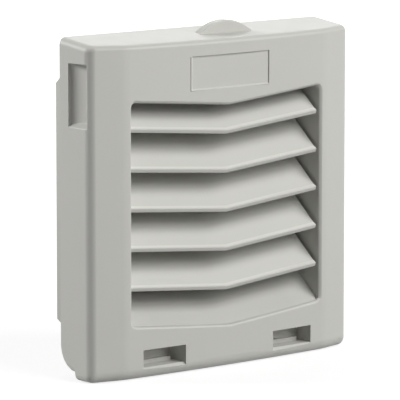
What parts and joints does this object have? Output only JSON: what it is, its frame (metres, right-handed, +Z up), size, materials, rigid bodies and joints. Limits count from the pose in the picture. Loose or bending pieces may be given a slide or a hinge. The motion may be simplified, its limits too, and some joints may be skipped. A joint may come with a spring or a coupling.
{
  "type": "cabinet exhaust filter",
  "caption": "Louvred exhaust filter hood that hinges down from a clip-in frame, with a filter mat, guard grid and gasket, for a square panel cut-out.",
  "frame": {"origin": "centre of the square panel cut-out, on the face of the panel that the gasket rests on", "axes": "+X to the right seen from the front, +Y through the panel into the cabinet, +Z up"},
  "size_m": [0.109, 0.0325, 0.1116],
  "materials": {
    "hood_plastic": "fine matt moulded, light warm grey",
    "frame_plastic": "fine matt moulded, light warm grey",
    "pin_steel": "drawn, zinc plated",
    "clip_plastic": "smooth moulded",
    "gasket_foam": "closed cell foam",
    "mat_fleece": "needled fleece",
    "grid_plastic": "fine matt moulded"
  },
  "bodies": {
    "frame": {"rear_frame": "frame_plastic", "hinge_pin_left": "pin_steel", "hinge_pin_right": "pin_steel", "flange_gasket": "gasket_foam", "rear_guard_grid": "grid_plastic", "filter_mat": "mat_fleece"},
    "hood": {"front_cover": "hood_plastic", "louvre_1": "hood_plastic", "louvre_2": "hood_plastic", "louvre_3": "hood_plastic", "louvre_4": "hood_plastic", "louvre_5": "hood_plastic"},
    "clip_top_left": {"panel_clip_top_left": "clip_plastic"},
    "clip_top_right": {"panel_clip_top_right": "clip_plastic"},
    "clip_bottom_left": {"panel_clip_bottom_left": "clip_plastic"},
    "clip_bottom_right": {"panel_clip_bottom_right": "clip_plastic"}
  },
  "joints": [
    {"name": "hood_hinge", "type": "hinge", "parent": "frame", "child": "hood", "pos_m": [0, -0.0062, -0.046], "axis": [1, 0, 0], "range_deg": [0, 50]},
    {"name": "clip_top_left_flex", "type": "hinge", "parent": "frame", "child": "clip_top_left", "pos_m": [-0.022, 0.011, 0.0448], "axis": [1, 0, 0], "range_deg": [0, 9], "stiffness_Nm_per_rad": 0.2},
    {"name": "clip_top_right_flex", "type": "hinge", "parent": "frame", "child": "clip_top_right", "pos_m": [0.022, 0.011, 0.0448], "axis": [1, 0, 0], "range_deg": [0, 9], "stiffness_Nm_per_rad": 0.2},
    {"name": "clip_bottom_left_flex", "type": "hinge", "parent": "frame", "child": "clip_bottom_left", "pos_m": [-0.022, 0.011, -0.0448], "axis": [-1, 0, 0], "range_deg": [0, 9], "stiffness_Nm_per_rad": 0.2},
    {"name": "clip_bottom_right_flex", "type": "hinge", "parent": "frame", "child": "clip_bottom_right", "pos_m": [0.022, 0.011, -0.0448], "axis": [-1, 0, 0], "range_deg": [0, 9], "stiffness_Nm_per_rad": 0.2}
  ]
}
